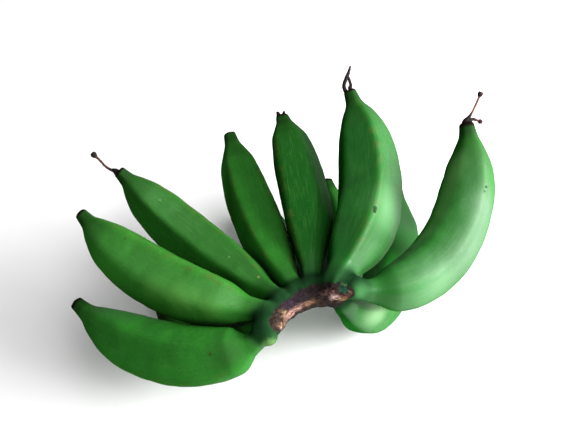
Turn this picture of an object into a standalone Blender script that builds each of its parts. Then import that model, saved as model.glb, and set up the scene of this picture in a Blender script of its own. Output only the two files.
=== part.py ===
# A whole hand of green cooking bananas, resting on the bellies of its fruits.
#
# Hand frame (the frame the hand grew in): +Z runs along the bunch stalk, +Y points away from the
# stalk through the middle of the hand, +X to the right.  Headings are degrees counter-clockwise
# from +X, pitches are degrees above the horizontal.  The finished hand is turned from the hand
# frame onto the floor by REST_LEAN and REST_TILT and moved by REST_SHIFT.  +Z is up in the
# finished object, the cut crown faces -Y, and the origin is under the middle of the box at floor
# level.

import bpy
import bmesh
import math
from mathutils import Matrix, Vector

MM = 0.001                    # everything below is written in millimetres
GAP = 0.3                     # clear gap between pieces that touch

REST_LEAN = -10.6             # turn about +Y that lays the hand on its bellies
REST_TILT = -26.6             # turn about +X that lays the hand on its bellies
REST_SHIFT = (12.7, -73.1, 86.0)  # move that puts the origin under the middle of the box and
                                  # lets the lowest bellies press about 2 mm flat on the floor

STALK_RADIUS = 35.0           # radius of the cut face left by the bunch stalk
CROWN_DEPTH = 13.0            # thickness of the crown, measured away from the stalk
CROWN_TOP = 9.0               # crown height above the hand frame origin
CROWN_BOTTOM = 14.0           # crown height below the hand frame origin
CROWN_LEFT = -75.0            # left end of the crown, degrees about the stalk
CROWN_RIGHT = 52.0            # right end of the crown, degrees about the stalk
SEAT_RADIUS = 44.0            # radius on which the fruit stalks are rooted

STUB = 13.0                   # length of each fruit stalk that belongs to the crown
RINGS = 26                    # cross-sections along a fruit
FACET_POINTS = 3              # points along each of the five facets of a fruit
NECK = 0.38                   # stalk thickness over girth
SHARPNESS = 12.0              # how angular the body of a fruit is
NECK_SHARPNESS = 5.0          # how angular its two ends are
UNEVEN_ANGLE = 6.0            # how far a facet is turned from its even place, degrees
UNEVEN_DEPTH = 0.03           # how much deeper or shallower a facet lies than the mean

# One row per fruit: seat on the crown (degrees about the stalk), seat height, heading and pitch
# where it leaves the crown, heading and pitch at its tip, how evenly it bends, length, girth,
# fraction of the length where it has swollen to its body and where it starts to taper, thickness of
# its tip over girth, and the angle of its first ridge seen from the inside of its bend.
FRUITS = {
    "fruit_front_1": dict(seat=-68, row=-8, start=(180, -33), end=(129, 35), bend=0.52,
                          length=157, girth=41.5, swell=0.13, taper=0.72, tip=0.22, ridge=6),
    "fruit_front_2": dict(seat=-47, row=3, start=(147, 10), end=(130, 51), bend=1.2,
                          length=162, girth=40, swell=0.20, taper=0.80, tip=0.21, ridge=56),
    "fruit_front_3": dict(seat=-29, row=4, start=(116, 2), end=(156, 61), bend=1.1,
                          length=176, girth=37, swell=0.24, taper=0.82, tip=0.23, ridge=31),
    "fruit_front_4": dict(seat=-10, row=4, start=(101, -2.5), end=(87, 48), bend=1.0,
                          length=187, girth=37.5, swell=0.26, taper=0.82, tip=0.26, ridge=23),
    "fruit_front_5": dict(seat=8, row=4, start=(81.5, 6), end=(88, 54), bend=1.0,
                          length=164, girth=36, swell=0.28, taper=0.84, tip=0.27, ridge=46),
    "fruit_front_6": dict(seat=31, row=3, start=(56, 2), end=(99, 69), bend=1.1,
                          length=168, girth=45.5, swell=0.22, taper=0.79, tip=0.19, ridge=48),
    "fruit_front_7": dict(seat=43, row=-3, start=(-3, -41), end=(72.9, 60.8), bend=0.63,
                          length=169, girth=40.5, swell=0.15, taper=0.80, tip=0.21, ridge=29),
    "fruit_back_1": dict(seat=22, row=-12, start=(55, -66), end=(65, 60), bend=0.8,
                         length=186, girth=38.5, swell=0.20, taper=0.80, tip=0.26, ridge=18),
    "fruit_back_2": dict(seat=10, row=-8, start=(69, -25), end=(88, 46), bend=1.0,
                         length=158, girth=33, swell=0.26, taper=0.80, tip=0.26, ridge=30),
    "fruit_back_3": dict(seat=-10, row=-9.5, start=(95, -28), end=(88, 44), bend=1.0,
                         length=172, girth=34.5, swell=0.26, taper=0.80, tip=0.26, ridge=-56),
    "fruit_back_4": dict(seat=-30, row=-8, start=(114, -27), end=(106, 40), bend=1.0,
                         length=162, girth=33.5, swell=0.26, taper=0.80, tip=0.26, ridge=60),
    "fruit_back_5": dict(seat=-51, row=-10, start=(131, -34), end=(120, 38), bend=1.0,
                         length=152, girth=34, swell=0.26, taper=0.80, tip=0.26, ridge=30),
}

# Dried flower remains at the tips.  The first branch grows straight out of the tip of its fruit
# and bends over to its end heading and pitch; a second branch leaves the first at a fraction of
# its length.  Root, middle and knob are thicknesses.
STYLES = {
    "style_front_3": dict(fruit="fruit_front_3", branches=[
        dict(end=(156, 31), bend=0.4, length=22, root=2.6, middle=1.7, knob=4.2)]),
    "style_front_5": dict(fruit="fruit_front_5", branches=[
        dict(end=(120, 60), bend=1.0, length=5, root=6.0, middle=3.0, knob=2.6)]),
    "style_front_6": dict(fruit="fruit_front_6", branches=[
        dict(end=(20, 52), bend=0.4, length=19, root=2.8, middle=1.6, knob=2.2),
        dict(leaves=0.62, start=(185, -30), end=(200, -80), length=12,
             root=1.4, middle=1.5, knob=2.2)]),
    "style_front_7": dict(fruit="fruit_front_7", branches=[
        dict(end=(345, 36), bend=0.35, length=24, root=2.8, middle=1.7, knob=4.0),
        dict(leaves=0.16, start=(0, 25), end=(0, -20), length=8,
             root=1.6, middle=1.4, knob=1.8)]),
}


# Unit vector for a heading and a pitch in degrees.
def direction(heading, pitch):
    h = math.radians(heading)
    p = math.radians(pitch)
    return Vector((math.cos(h) * math.cos(p), math.sin(h) * math.cos(p), math.sin(p)))


# Turns from one direction to another along the shortest way.
def turn(first, last, fraction):
    angle = first.angle(last)
    if angle < 1e-6:
        return first.copy()
    a = math.sin((1.0 - fraction) * angle) / math.sin(angle)
    b = math.sin(fraction * angle) / math.sin(angle)
    return (a * first + b * last).normalized()


# A flat bent centre line: point and direction at each of the given fractions of its length.
def centre_line(base, start, end, length, bend, fractions, steps=240):
    first = direction(*start)
    last = direction(*end)
    points = [base.copy()]
    for i in range(steps):
        heading = turn(first, last, ((i + 0.5) / steps) ** bend)
        points.append(points[-1] + heading * (length / steps))
    result = []
    for t in fractions:
        k = min(int(t * steps), steps - 1)
        part = t * steps - k
        point = points[k].lerp(points[k + 1], part)
        result.append((point, turn(first, last, max(t, 0.0) ** bend)))
    across = first.cross(last).normalized()
    return result, across


# Smooth curve through knots that never overshoots them.
def smooth_curve(knots, t):
    xs = [k[0] for k in knots]
    ys = [k[1] for k in knots]
    slopes = [(ys[i + 1] - ys[i]) / (xs[i + 1] - xs[i]) for i in range(len(xs) - 1)]
    tangents = [slopes[0]]
    for a, b in zip(slopes, slopes[1:]):
        tangents.append(0.0 if a * b <= 0.0 else 2.0 * a * b / (a + b))
    tangents.append(slopes[-1])
    k = 0
    while k < len(xs) - 2 and t > xs[k + 1]:
        k += 1
    width = xs[k + 1] - xs[k]
    u = min(max((t - xs[k]) / width, 0.0), 1.0)
    return ((2 * u ** 3 - 3 * u ** 2 + 1) * ys[k] + (u ** 3 - 2 * u ** 2 + u) * width * tangents[k]
            + (3 * u ** 2 - 2 * u ** 3) * ys[k + 1] + (u ** 3 - u ** 2) * width * tangents[k + 1])


# Thickness of a fruit over its girth at a fraction of its length: stalk, body, bottle neck, tip.
def thickness(fruit, t):
    swell = fruit["swell"]
    taper = fruit["taper"]
    rest = 1.0 - taper
    knots = [(0.0, NECK), (swell * 0.35, NECK * 1.08), (swell, 0.78),
             (swell * 0.83 + 0.19, 0.965), ((swell + taper) / 2.0, 1.0), (taper - 0.12, 0.95),
             (taper, 0.80), (taper + 0.45 * rest, 0.52), (taper + 0.72 * rest, fruit["tip"] + 0.08),
             (1.0, fruit["tip"])]
    return smooth_curve(knots, t)


# Radii of a rounded five-sided outline of mean radius 1, one for each angle.
def outline(angles, ridge, sharpness):
    facets = []
    for k in range(5):
        uneven = UNEVEN_ANGLE * math.sin(2.4 * k + ridge)
        depth = 1.0 + UNEVEN_DEPTH * math.sin(1.7 * k + ridge)
        facets.append((math.radians(ridge + 36.0 + 72.0 * k + uneven), depth))
    radii = []
    for a in angles:
        total = sum(max(0.0, math.cos(a - f) / depth) ** sharpness for f, depth in facets)
        radii.append(total ** (-1.0 / sharpness))
    mean = sum(radii) / len(radii)
    return [r / mean for r in radii]


# A solid from closed rings of points, with a flat face at each end.
def ring_solid(bm, rings):
    loops = [[bm.verts.new(p) for p in ring] for ring in rings]
    count = len(loops[0])
    for lower, upper in zip(loops, loops[1:]):
        for i in range(count):
            j = (i + 1) % count
            bm.faces.new((lower[i], lower[j], upper[j], upper[i]))
    bm.faces.new(list(reversed(loops[0])))
    bm.faces.new(loops[-1])


# From the hand frame in millimetres to the finished object in metres.
def rest_matrix():
    lean = Matrix.Rotation(math.radians(REST_LEAN), 4, "Y")
    tilt = Matrix.Rotation(math.radians(REST_TILT), 4, "X")
    return Matrix.Scale(MM, 4) @ Matrix.Translation(Vector(REST_SHIFT)) @ tilt @ lean


def make_material(name, colour, roughness):
    material = bpy.data.materials.new(name)
    material.use_nodes = True
    shader = material.node_tree.nodes["Principled BSDF"]
    shader.inputs["Base Color"].default_value = (*colour, 1.0)
    shader.inputs["Roughness"].default_value = roughness
    shader.inputs["Metallic"].default_value = 0.0
    return material


# Closes a bmesh into a named object, presses what is below the floor flat, and shades it smooth.
def finish(name, bm, material, parent, sharp_angle=50.0):
    bm.transform(rest_matrix())
    for v in bm.verts:
        v.co.z = max(v.co.z, 0.0)
    bmesh.ops.recalc_face_normals(bm, faces=bm.faces)
    mesh = bpy.data.meshes.new(name)
    bm.to_mesh(mesh)
    bm.free()
    mesh.materials.append(material)
    mesh.shade_smooth()
    mesh.set_sharp_from_angle(angle=math.radians(sharp_angle))
    thing = bpy.data.objects.new(name, mesh)
    bpy.context.scene.collection.objects.link(thing)
    thing.parent = parent
    return thing


def seat_point(fruit):
    angle = math.radians(fruit["seat"])
    return Vector((SEAT_RADIUS * math.sin(angle), SEAT_RADIUS * math.cos(angle) - STALK_RADIUS,
                   fruit["row"]))


# Rings of one fruit between two fractions of its length.
def fruit_rings(fruit, fractions, flare=0.0):
    line, across = centre_line(seat_point(fruit), fruit["start"], fruit["end"], fruit["length"],
                               fruit["bend"], fractions)
    count = 5 * FACET_POINTS
    angles = [2.0 * math.pi * i / count + math.radians(fruit["ridge"]) for i in range(count)]
    rings = []
    for t, (point, along) in zip(fractions, line):
        inward = across.cross(along).normalized()
        size = thickness(fruit, max(t, 0.0)) * fruit["girth"] / 2.0
        blend = min(max((size * 2.0 / fruit["girth"] - NECK) / 0.5, 0.0), 1.0)
        sharpness = NECK_SHARPNESS + (SHARPNESS - NECK_SHARPNESS) * blend
        if flare:
            size *= 1.0 + flare * max(0.0, 1.0 - t * fruit["length"] / STUB)
        ring = []
        for angle, r in zip(angles, outline(angles, fruit["ridge"], sharpness)):
            side = inward * math.cos(angle) + across * math.sin(angle)
            ring.append(point + side * (size * r))
        rings.append(ring)
    return rings


# ---- start with an empty scene ------------------------------------------------------------------
for thing in list(bpy.data.objects):
    bpy.data.objects.remove(thing, do_unlink=True)

hand = bpy.data.objects.new("hand", None)
bpy.context.scene.collection.objects.link(hand)

# ---- crown --------------------------------------------------------------------------------------
# The crown is the woody cushion that joined the hand to the bunch stalk.  Its inner face follows
# the stalk and is the cut; the fruit stalks grow out of its outer side as short round stubs.
crown_material = make_material("crown", (0.10, 0.065, 0.045), 0.75)
bm = bmesh.new()
rings = []
steps = 20
for i in range(steps + 1):
    u = i / steps
    angle = math.radians(CROWN_LEFT + (CROWN_RIGHT - CROWN_LEFT) * u)
    end = math.sqrt(max(0.0, 1.0 - abs(2.0 * u - 1.0) ** 4))
    size = 0.35 + 0.65 * end
    middle_z = (CROWN_TOP - CROWN_BOTTOM) / 2.0
    half_z = (CROWN_TOP + CROWN_BOTTOM) / 2.0 * size
    middle_r = STALK_RADIUS + CROWN_DEPTH / 2.0
    half_r = CROWN_DEPTH / 2.0 * size
    ring = []
    for k in range(12):
        a = 2.0 * math.pi * k / 12
        round_r = math.copysign(abs(math.cos(a)) ** 0.7, math.cos(a))
        round_z = math.copysign(abs(math.sin(a)) ** 0.7, math.sin(a))
        r = middle_r + half_r * round_r
        ring.append(Vector((r * math.sin(angle), r * math.cos(angle) - STALK_RADIUS,
                            middle_z + half_z * round_z)))
    rings.append(ring)
ring_solid(bm, rings)
bmesh.ops.recalc_face_normals(bm, faces=bm.faces)
body_mesh = bpy.data.meshes.new("crown_body")
bm.to_mesh(body_mesh)
bm.free()
crown_body = bpy.data.objects.new("crown_body", body_mesh)
bpy.context.scene.collection.objects.link(crown_body)
for name, fruit in FRUITS.items():
    bm = bmesh.new()
    reach = STUB / fruit["length"]
    ring_solid(bm, fruit_rings(fruit, [0.0, reach * 0.45, reach], flare=0.12))
    bmesh.ops.recalc_face_normals(bm, faces=bm.faces)
    stub_mesh = bpy.data.meshes.new("stub")
    bm.to_mesh(stub_mesh)
    bm.free()
    stub = bpy.data.objects.new("stub", stub_mesh)
    bpy.context.scene.collection.objects.link(stub)
    join = crown_body.modifiers.new("join", "BOOLEAN")
    join.operation = "UNION"
    join.solver = "EXACT"
    join.object = stub
    bpy.context.view_layer.update()
    seen = crown_body.evaluated_get(bpy.context.evaluated_depsgraph_get())
    joined = bpy.data.meshes.new_from_object(seen)
    crown_body.modifiers.remove(join)
    crown_body.data = joined
    bpy.data.objects.remove(stub, do_unlink=True)
bm = bmesh.new()
bm.from_mesh(crown_body.data)
bmesh.ops.remove_doubles(bm, verts=bm.verts, dist=0.05)
bpy.data.objects.remove(crown_body, do_unlink=True)
finish("crown", bm, crown_material, hand, sharp_angle=40.0)

# ---- fruits -------------------------------------------------------------------------------------
# Each fruit is one bent, five-sided solid with a bottle-necked tip, a hair off its stub.
skin_material = make_material("green_skin", (0.055, 0.19, 0.045), 0.42)
for name, fruit in FRUITS.items():
    first = (STUB + GAP) / fruit["length"]
    fractions = []
    for i in range(RINGS + 1):
        u = i / RINGS
        even = 0.6 * u + 0.4 * (0.5 - 0.5 * math.cos(math.pi * u))
        fractions.append(first + (1.0 - first) * even)
    bm = bmesh.new()
    ring_solid(bm, fruit_rings(fruit, fractions))
    finish(name, bm, skin_material, hand)

# ---- dried flower remains -----------------------------------------------------------------------
# A thin bent stem with a knob at its end sits on a few of the tips; two of them are forked.
style_material = make_material("dried_flower", (0.045, 0.022, 0.018), 0.8)
for name, style in STYLES.items():
    fruit = FRUITS[style["fruit"]]
    tip, _ = centre_line(seat_point(fruit), fruit["start"], fruit["end"], fruit["length"],
                         fruit["bend"], [1.0])
    pieces = []
    for branch in style["branches"]:
        if "leaves" in branch:
            base = pieces_line[0][0].lerp(pieces_line[-1][0], branch["leaves"])
            start = branch["start"]
        else:
            base = tip[0][0] + tip[0][1] * GAP
            start = fruit["end"]
        count = 9
        fractions = [i / (count - 1) for i in range(count)]
        line, across = centre_line(base, start, branch["end"], branch["length"],
                                   branch.get("bend", 1.0), fractions)
        if not pieces:
            pieces_line = line
        knots = [(0.0, branch["root"]), (0.2, branch["middle"] * 1.1), (0.75, branch["middle"]),
                 (0.9, branch["knob"]), (1.0, branch["knob"] * 0.55)]
        rings = []
        for t, (point, along) in zip(fractions, line):
            inward = across.cross(along).normalized()
            size = smooth_curve(knots, t) / 2.0
            ring = []
            for k in range(8):
                a = 2.0 * math.pi * k / 8
                ring.append(point + (inward * math.cos(a) + across * math.sin(a)) * size)
            rings.append(ring)
        bm = bmesh.new()
        ring_solid(bm, rings)
        bmesh.ops.recalc_face_normals(bm, faces=bm.faces)
        mesh = bpy.data.meshes.new(name)
        bm.to_mesh(mesh)
        bm.free()
        piece = bpy.data.objects.new(name + "_branch", mesh)
        bpy.context.scene.collection.objects.link(piece)
        pieces.append(piece)
    main = pieces[0]
    for other in pieces[1:]:
        join = main.modifiers.new("join", "BOOLEAN")
        join.operation = "UNION"
        join.solver = "EXACT"
        join.object = other
    bpy.context.view_layer.update()
    seen = main.evaluated_get(bpy.context.evaluated_depsgraph_get())
    bm = bmesh.new()
    bm.from_mesh(bpy.data.meshes.new_from_object(seen))
    for piece in pieces:
        bpy.data.objects.remove(piece, do_unlink=True)
    finish(name, bm, style_material, hand)
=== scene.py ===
# A whole hand of green cooking bananas lying on its bellies: the cut crown, seven fruits in the
# front row and five in the back row grown onto it, and the dried flower remains on four tips.

import math

import bpy
import numpy as np
from mathutils import Matrix, Vector, noise


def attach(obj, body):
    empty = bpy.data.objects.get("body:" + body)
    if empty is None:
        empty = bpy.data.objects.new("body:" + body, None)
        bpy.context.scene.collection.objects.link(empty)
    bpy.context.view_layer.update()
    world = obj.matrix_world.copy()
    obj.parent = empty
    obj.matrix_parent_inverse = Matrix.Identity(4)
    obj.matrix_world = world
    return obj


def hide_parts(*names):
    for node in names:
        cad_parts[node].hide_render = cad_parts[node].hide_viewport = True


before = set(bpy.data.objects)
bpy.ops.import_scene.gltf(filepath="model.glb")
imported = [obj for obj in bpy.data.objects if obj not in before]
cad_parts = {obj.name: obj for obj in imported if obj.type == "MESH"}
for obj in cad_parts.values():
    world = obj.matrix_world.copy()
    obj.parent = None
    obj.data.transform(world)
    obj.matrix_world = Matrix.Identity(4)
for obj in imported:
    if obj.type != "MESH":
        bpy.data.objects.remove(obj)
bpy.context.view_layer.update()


# ==== The crown ====
# The woody cushion that joined the hand to the bunch stalk: a curved lip of dried, fibrous cut
# tissue, purple-black above and pinkish brown below, and behind it a smooth dark green collar
# into which every fruit stalk runs with a soft web on either side.

# The hand is shaped as it grew, in millimetres: Z along the bunch stalk, Y away from it, headings
# in degrees from X.  REST lays the grown hand on its bellies and turns millimetres into metres.
MM = 0.001
REST = (Matrix.Scale(MM, 4) @ Matrix.Translation((12.7, -73.1, 86.0))
        @ Matrix.Rotation(math.radians(-26.6), 4, "X")
        @ Matrix.Rotation(math.radians(-10.6), 4, "Y"))
STALK_RADIUS = 35.0  # radius of the bunch stalk, behind the cut
SEAT_RADIUS = 44.0  # radius on which the fruit stalks are rooted
LOW_PART = 0.55  # share of a fruit's length over which it leans or is stouter
NECK = 0.38  # fruit stalk thickness over girth
NECK_SHARPNESS = 5.0  # how angular the two ends of a fruit are
UNEVEN_ANGLE = 6.0  # how far a facet is turned from its even place, degrees
UNEVEN_DEPTH = 0.03  # how much deeper or shallower a facet lies than the mean
LINE_STEPS = 240  # steps in which a centre line is grown

# Of each fruit: seat on the crown in degrees about the stalk and its height there, heading and
# pitch at the crown and at the tip, how evenly it bends, length, girth, shares of the length where
# it has swollen and where it starts to taper, tip thickness over girth, angle of its first ridge,
# how angular its body is, depth of the dark scar at its tip, and a tone from 0, bluish, to 1,
# yellowish. Some are also a deeper green, in part painted shade on fruits turned more to the
# lights, or have less gloss, are moved sideways and up in mm at the stalk (lean) or half-way
# (bulge), or are stouter or slimmer near the stalk.
TRAITS = ("seat", "row", "start", "end", "bend", "length", "girth", "swell", "taper", "tip",
          "ridge", "edge", "scar", "tone")
USUAL = dict(deep=0.0, gloss=1.0, lean=(0.0, 0.0), bulge=(0.0, 0.0), stout=0.0)
FRUITS = {name: {**USUAL, **dict(zip(TRAITS, traits)), **more} for name, traits, more in [
    ("front_1", (-68, -8, (180, -33), (129, 35), 0.52, 157, 41.5, 0.13, 0.72, 0.22, 6, 6.5, 3.6, 0.35),
     dict(gloss=0.35)),
    ("front_2", (-47, 3, (147, 10), (130, 51), 1.2, 162, 40, 0.2, 0.8, 0.21, 60, 8, 2.6, 0.6), {}),
    ("front_3", (-29, 4, (116, 2), (156, 61), 1.1, 176, 37, 0.24, 0.82, 0.23, 44, 14, 2.2, 0.7),
     dict(deep=0.45)),
    ("front_4", (-10, 4, (101, -2.5), (87, 48), 1.0, 187, 37.5, 0.26, 0.82, 0.26, 34, 12, 2.2, 0.45),
     dict(deep=0.15, lean=(-1.6, 0.0), gloss=0.3)),
    ("front_5", (8, 4, (81.5, 6), (88, 54), 1.0, 164, 36, 0.28, 0.87, 0.26, 42, 7, 2.6, 0.5),
     dict(deep=0.8, lean=(-4.4, 0.0), stout=-0.18, gloss=0.1)),
    ("front_6", (31, 3, (56, 2), (99, 69), 1.1, 168, 45.5, 0.22, 0.79, 0.19, 57, 16, 2.0, 0.05),
     dict(deep=0.4, lean=(-5.5, 0.0), stout=0.3)),
    ("front_7", (43, -3, (-3, -41), (72.9, 60.8), 0.63, 169, 40.5, 0.15, 0.8, 0.24, 29, 5.2, 3.4, 0.2),
     dict(deep=0.3, bulge=(1.6, -1.5))),
    ("back_1", (22, -12, (55, -66), (65, 60), 0.8, 186, 38.5, 0.2, 0.8, 0.26, 18, 6, 1.6, 0.1), {}),
    ("back_2", (10, -8, (69, -25), (88, 46), 1.0, 158, 33, 0.26, 0.8, 0.26, 30, 11, 3.0, 0.3),
     dict(lean=(0.0, 4.0))),
    ("back_3", (-10, -9.5, (95, -28), (88, 44), 1.0, 172, 34.5, 0.26, 0.8, 0.26, -56, 11, 1.6, 0.5),
     dict(lean=(0.0, 8.0))),
    ("back_4", (-30, -8, (114, -27), (106, 40), 1.0, 162, 33.5, 0.26, 0.8, 0.26, 60, 11, 1.4, 0.4),
     dict(lean=(0.0, 4.5))),
    ("back_5", (-51, -10, (131, -34), (120, 38), 1.0, 152, 34, 0.26, 0.8, 0.26, 30, 11, 2.0, 0.5),
     dict(lean=(0.0, 4.0)))]}


def laid_down(points, turn=REST):
    """From the growing frame in millimetres to the resting hand in metres, or by another turn."""
    turn = np.array(turn)
    return points @ turn[:3, :3].T + turn[:3, 3]


def smooth_step(low, high, value):
    t = np.clip((value - low) / (high - low), 0.0, 1.0)
    return t * t * (3.0 - 2.0 * t)


def fade(low, high, value):
    """1 up to low and 0 from high on."""
    return 1.0 - smooth_step(low, high, value)


def aim(heading, pitch):
    h, p = math.radians(heading), math.radians(pitch)
    return np.array([math.cos(h) * math.cos(p), math.sin(h) * math.cos(p), math.sin(p)])


def turned(first, last, share):
    """Directions on the shortest way from first to last, one for each share."""
    angle = math.acos(float(np.clip(first @ last, -1.0, 1.0)))
    share = np.asarray(share, float)[:, None]
    way = (np.sin((1.0 - share) * angle) * first + np.sin(share * angle) * last)
    return way / np.linalg.norm(way, axis=1)[:, None]


def smooth_curve(knots, t):
    """Smooth curve through knots that never overshoots them."""
    xs, ys = np.array(knots, float).T
    steps = np.diff(xs)
    slopes = np.diff(ys) / steps
    inner = np.where(slopes[:-1] * slopes[1:] <= 0.0, 0.0,
                     2.0 * slopes[:-1] * slopes[1:] / (slopes[:-1] + slopes[1:] + 1e-12))
    tangents = np.concatenate([slopes[:1], inner, slopes[-1:]])
    t = np.asarray(t, float)
    k = np.clip(np.searchsorted(xs, t) - 1, 0, len(steps) - 1)
    u = np.clip((t - xs[k]) / steps[k], 0.0, 1.0)
    return ((2 * u ** 3 - 3 * u ** 2 + 1) * ys[k] + (u ** 3 - 2 * u ** 2 + u) * steps[k] * tangents[k]
            + (3 * u ** 2 - 2 * u ** 3) * ys[k + 1] + (u ** 3 - u ** 2) * steps[k] * tangents[k + 1])


def swelling(fruit, t):
    """Radius of a fruit along its length: stalk, body, bottle neck, tip."""
    swell, taper, tip = fruit["swell"], fruit["taper"], fruit["tip"]
    rest = 1.0 - taper
    knots = [(0.0, NECK), (swell * 0.35, NECK * 1.08), (swell, 0.78), (swell * 0.83 + 0.19, 0.965),
             ((swell + taper) / 2.0, 1.0), (taper - 0.12, 0.95), (taper, 0.8),
             (taper + 0.45 * rest, 0.52), (taper + 0.72 * rest, tip + 0.08), (1.0, tip)]
    low = np.clip(1.0 - np.asarray(t, float) / LOW_PART, 0.0, 1.0)
    return smooth_curve(knots, t) * (1.0 + fruit["stout"] * low ** 2) * fruit["girth"] / 2.0


def grow(fruit):
    """Centre line of a fruit: points, directions and the constant sideways direction."""
    first, last = aim(*fruit["start"]), aim(*fruit["end"])
    middles = (np.arange(LINE_STEPS) + 0.5) / LINE_STEPS
    moves = turned(first, last, middles ** fruit["bend"]) * (fruit["length"] / LINE_STEPS)
    angle = math.radians(fruit["seat"])
    seat = np.array([SEAT_RADIUS * math.sin(angle), SEAT_RADIUS * math.cos(angle) - STALK_RADIUS,
                     fruit["row"]])
    points = np.concatenate([[seat], seat + np.cumsum(moves, axis=0)])
    share = np.linspace(0.0, 1.0, LINE_STEPS + 1)
    leaning = fade(0.0, LOW_PART, share[:, None])
    bulging = np.sin(math.pi * share[:, None] ** 0.65) ** 2
    points[:, [0, 2]] += np.array(fruit["lean"]) * leaning + np.array(fruit["bulge"]) * bulging
    across = np.cross(first, last)
    return points, turned(first, last, share ** fruit["bend"]), across / np.linalg.norm(across)


def five_sided(angle, ridge, sharpness):
    """Radius of the rounded, slightly uneven five-sided section at each angle."""
    k = np.arange(5)
    headings = np.radians(ridge + 36.0 + 72.0 * k + UNEVEN_ANGLE * np.sin(2.4 * k + ridge))
    depths = 1.0 + UNEVEN_DEPTH * np.sin(1.7 * k + ridge)
    pull = np.maximum(0.0, np.cos(angle[..., None] - headings) / depths)
    return (pull ** np.asarray(sharpness)[..., None]).sum(-1) ** (-1.0 / sharpness)


def mean_sizes(fruit):
    """Mean radius of the section at the stalk and on the body."""
    even = np.radians(fruit["ridge"] + 24.0 * np.arange(15))
    return [float(five_sided(even, fruit["ridge"], np.full(15, float(p))).mean())
            for p in (NECK_SHARPNESS, fruit["edge"])]


def outline(angle, radius, fruit):
    """Radius of the section over its mean, for each angle and mean radius in mm."""
    blend = np.clip((radius * 2.0 / fruit["girth"] - NECK) / 0.5, 0.0, 1.0)
    sharpness = NECK_SHARPNESS + (fruit["edge"] - NECK_SHARPNESS) * blend
    at_neck, at_body = mean_sizes(fruit)
    return (five_sided(angle, fruit["ridge"], sharpness)
            / (at_neck + (at_body - at_neck) * blend))


# Top and bottom of the crown by its angle about the stalk, and the edge of the dried wood on it.
CROWN_TOP = [(-76, -2.0), (-70, 1.0), (-61, 3.6), (-37, 5.4), (-16, 6.8), (4, 7.8), (24, 7.4),
             (40, 5.4), (49, 1.4), (54, -1.0)]
CROWN_BOTTOM = [(-76, -5.0), (-66, -8.0), (-57, -11.0), (-44, -12.8), (-31, -12.2), (-17, -11.4),
                (-5, -11.2), (9, -12.6), (25, -12.6), (36, -9.6), (45, -5.4), (54, -3.0)]
CROWN_MIDDLE = 41.2  # radius of the middle of the crown
CROWN_HALF = 6.0  # half its thickness away from the stalk
CROWN_ENDS = (-63.0, 43.0)  # where its rounded ends begin, degrees
CROWN_END_LENGTH = 5.6  # how far a rounded end reaches, mm
ROUNDNESS = 2.5  # 2 is an ellipse, more is boxier


def about_stalk(points):
    """Angle in degrees and distance of points about the middle of the bunch stalk."""
    x, y = points[:, 0], points[:, 1] + STALK_RADIUS
    return np.degrees(np.arctan2(x, y)), np.hypot(x, y)


def off_crown(points):
    """Distance of points from the crown's own rounded surface, below zero inside it."""
    (angle, radius), z = about_stalk(points), points[:, 2]
    held = np.clip(angle, *CROWN_ENDS)
    top, bottom = smooth_curve(CROWN_TOP, held), smooth_curve(CROWN_BOTTOM, held)
    sizes = np.stack([np.full(len(z), CROWN_HALF), (top - bottom) / 2.0,
                      np.full(len(z), CROWN_END_LENGTH)])
    q = np.abs(np.stack([radius - CROWN_MIDDLE, z - (top + bottom) / 2.0,
                         np.radians(angle - held) * radius])) / sizes + 1e-6
    total = (q ** ROUNDNESS).sum(0)
    steep = total ** (1.0 / ROUNDNESS - 1.0) * np.linalg.norm(q ** (ROUNDNESS - 1.0) / sizes, axis=0)
    return np.clip((total ** (1.0 / ROUNDNESS) - 1.0) / np.maximum(steep, 0.05), -9.0, 60.0)


def crown_slope(points, step=0.05):
    """Gradient of off_crown at each point."""
    return np.stack([(off_crown(points + e) - off_crown(points - e)) / (2.0 * step)
                     for e in np.eye(3) * step], axis=1)


# Middle and radius, mm, of the green lobe under the left end and of the cut knob above it.
BUMPS = [((-34.8, -21.5, -7.8), 5.4), ((-26.9, -12.6, -4.6), 5.6)]
STUB = 13.3  # how far along the stalks the crown's own piece reaches
LAP = 3.0  # how far the crown and a fruit run on under each other past that
UNDERCUT = 0.06  # how steeply the hidden one of the two dives under the other
WEB = 2.3  # how softly the stalks run into the collar and each other, mm
WEB_REACH = (1.0, 11.0)  # the web fades out between these distances from the crown, mm
SAMPLES = 132  # points taken along the lower part of each fruit
COLLAR = (0.5, 12.0)  # the dull collar fades out between these distances from the crown, mm
CROTCH_SHADE_GAPS = (0.8, 5.5)  # the painted shade between two stalks fades out between these gaps, mm


def lower_part(fruit, reach=120.0):
    """Centre line, directions, radii and lengths of the part of a fruit near the crown."""
    line, along, across = grow(fruit)
    picks = np.unique(np.linspace(0, LINE_STEPS * reach / fruit["length"], SAMPLES).astype(int))
    length = picks * fruit["length"] / LINE_STEPS
    # Each stalk is slimmer over its first 22 mm, most of all those rooted low.
    root = np.clip(1.0 - length / 22.0, 0.0, 1.0) ** 2
    slimmer = 1.0 - (0.26 if fruit["row"] < -5 else 0.14) * root
    radius = swelling(fruit, picks / LINE_STEPS) * slimmer
    return line[picks], along[picks], across, radius, length


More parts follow.
